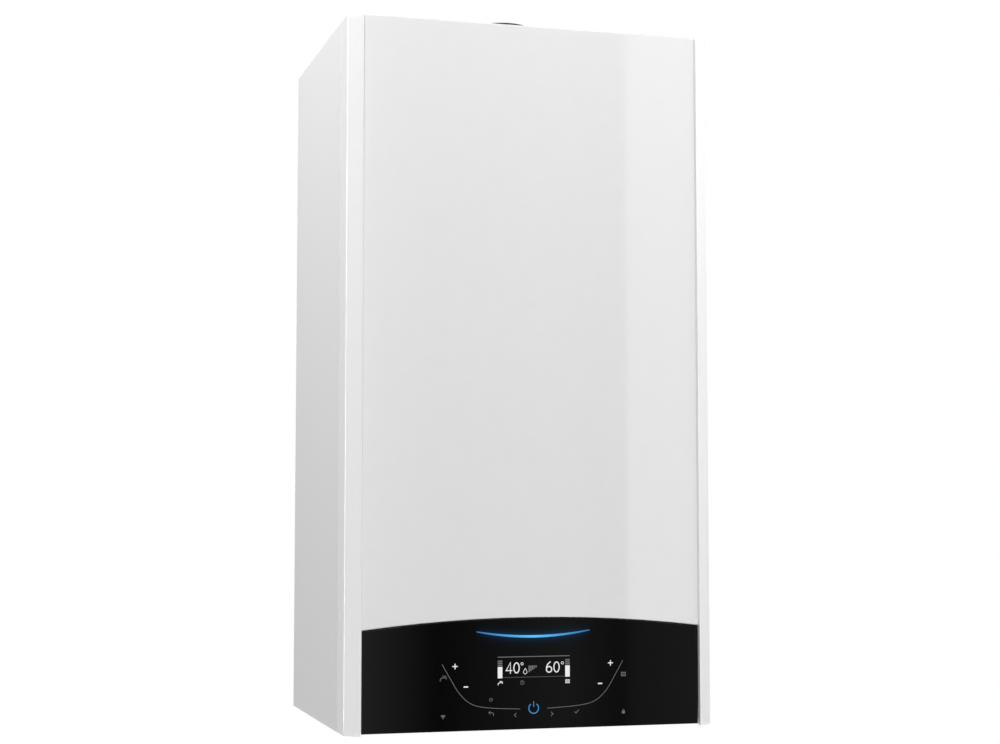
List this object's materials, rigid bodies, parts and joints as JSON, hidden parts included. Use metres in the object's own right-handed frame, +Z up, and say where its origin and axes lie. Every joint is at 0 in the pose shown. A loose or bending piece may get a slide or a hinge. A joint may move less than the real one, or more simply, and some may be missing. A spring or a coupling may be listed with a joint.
{
  "type": "condensing boiler",
  "caption": "Wall-hung condensing combination boiler with a pull-off white steel casing, slanted side trims and a tilting black arched touch fascia over its water and gas parts.",
  "frame": {"origin": "midpoint between the two wall screw holes of the hanging bar, on the wall plane, 690 mm above the lower edge of the case", "axes": "+X to the right seen from the front, +Y into the wall, +Z up; the front faces -Y"},
  "size_m": [0.4, 0.3189, 0.772],
  "materials": {
    "white_paint": "satin powder coat",
    "white_trim": "smooth satin white",
    "felt": "pressed fibre felt",
    "zinc": "zinc-plated sheet",
    "black_gloss": "high-gloss black",
    "light_guide": "clear guide lit blue",
    "black_plastic": "moulded black",
    "grey_plastic": "moulded grey",
    "board": "circuit board with green resist",
    "rubber": "soft black rubber",
    "stainless": "pressed stainless sheet",
    "cast_alloy": "as-cast alloy",
    "ceramic": "unglazed ceramic",
    "steel_pipe": "drawn steel pipe",
    "brass": "machined brass",
    "red_plastic": "moulded red",
    "grey_paint": "grey enamel",
    "copper": "drawn copper pipe"
  },
  "bodies": {
    "frame": {"wall_bracket": "zinc", "back_frame": "zinc", "exchanger_rail": "zinc", "top_plate": "white_paint", "bottom_plate": "zinc", "hinge_brackets": "zinc", "right_side_panel": "white_paint", "left_side_panel": "white_paint", "casing_screws": "zinc", "cable_glands": "rubber", "flue_collar": "white_trim", "flue_seal": "rubber", "test_point_caps": "black_plastic", "flue_duct": "grey_plastic", "heat_exchanger": "stainless", "burner_door": "cast_alloy", "door_nuts": "zinc", "ignition_electrode": "ceramic", "fan_scroll": "cast_alloy", "fan_cover": "cast_alloy", "fan_motor": "black_plastic", "gas_mixer": "black_plastic", "air_silencer": "black_plastic", "gas_valve": "cast_alloy", "gas_valve_coils": "black_plastic", "gas_inlet_pipe": "steel_pipe", "gas_outlet_pipe": "steel_pipe", "flow_manifold": "black_plastic", "diverter_motor": "black_plastic", "plate_heat_exchanger": "stainless", "return_manifold": "black_plastic", "pump_motor": "black_plastic", "air_vent": "brass", "safety_valve": "brass", "filling_tap_body": "brass", "expansion_vessel": "grey_paint", "vessel_pipe": "copper", "flow_pipe": "copper", "return_pipe": "copper", "water_sensors": "brass", "condensate_trap": "grey_plastic", "condensate_hose": "grey_plastic"},
    "front_casing": {"front_panel": "white_paint", "right_trim": "white_trim", "left_trim": "white_trim", "trim_end_caps": "white_trim", "casing_insulation": "felt"},
    "control_box": {"fascia": "black_gloss", "light_guide": "light_guide", "display_module": "black_plastic", "touch_board": "board", "control_housing": "grey_plastic", "control_lid": "grey_plastic", "main_board": "board", "board_components": "black_plastic"},
    "fan_rotor": {"fan_impeller": "black_plastic"},
    "pump_rotor": {"pump_impeller": "black_plastic"},
    "diverter": {"diverter_spindle": "brass"},
    "relief": {"relief_knob": "red_plastic"},
    "filling": {"filling_tap_knob": "black_plastic"}
  },
  "joints": [
    {"name": "casing_pull", "type": "slide", "parent": "frame", "child": "front_casing", "axis": [0, -1, 0], "range_m": [0, 0.36]},
    {"name": "control_tilt", "type": "hinge", "parent": "frame", "child": "control_box", "pos_m": [0, -0.305, -0.68], "axis": [1, 0, 0], "range_deg": [0, 90]},
    {"name": "fan_spin", "type": "hinge", "parent": "frame", "child": "fan_rotor", "pos_m": [0.112, -0.262, -0.292], "axis": [0, 1, 0], "continuous": true},
    {"name": "pump_spin", "type": "hinge", "parent": "frame", "child": "pump_rotor", "pos_m": [0.115, -0.155, -0.512], "axis": [0, 1, 0], "continuous": true},
    {"name": "diverter_travel", "type": "slide", "parent": "frame", "child": "diverter", "axis": [0, 0, -1], "range_m": [0, 0.007]},
    {"name": "relief_turn", "type": "hinge", "parent": "frame", "child": "relief", "pos_m": [0.14, -0.2, -0.606], "axis": [0, -1, 0], "range_deg": [-60, 0]},
    {"name": "filling_turn", "type": "hinge", "parent": "frame", "child": "filling", "pos_m": [0.1, -0.12, -0.665], "axis": [0, 0, 1], "range_deg": [0, 90]}
  ]
}
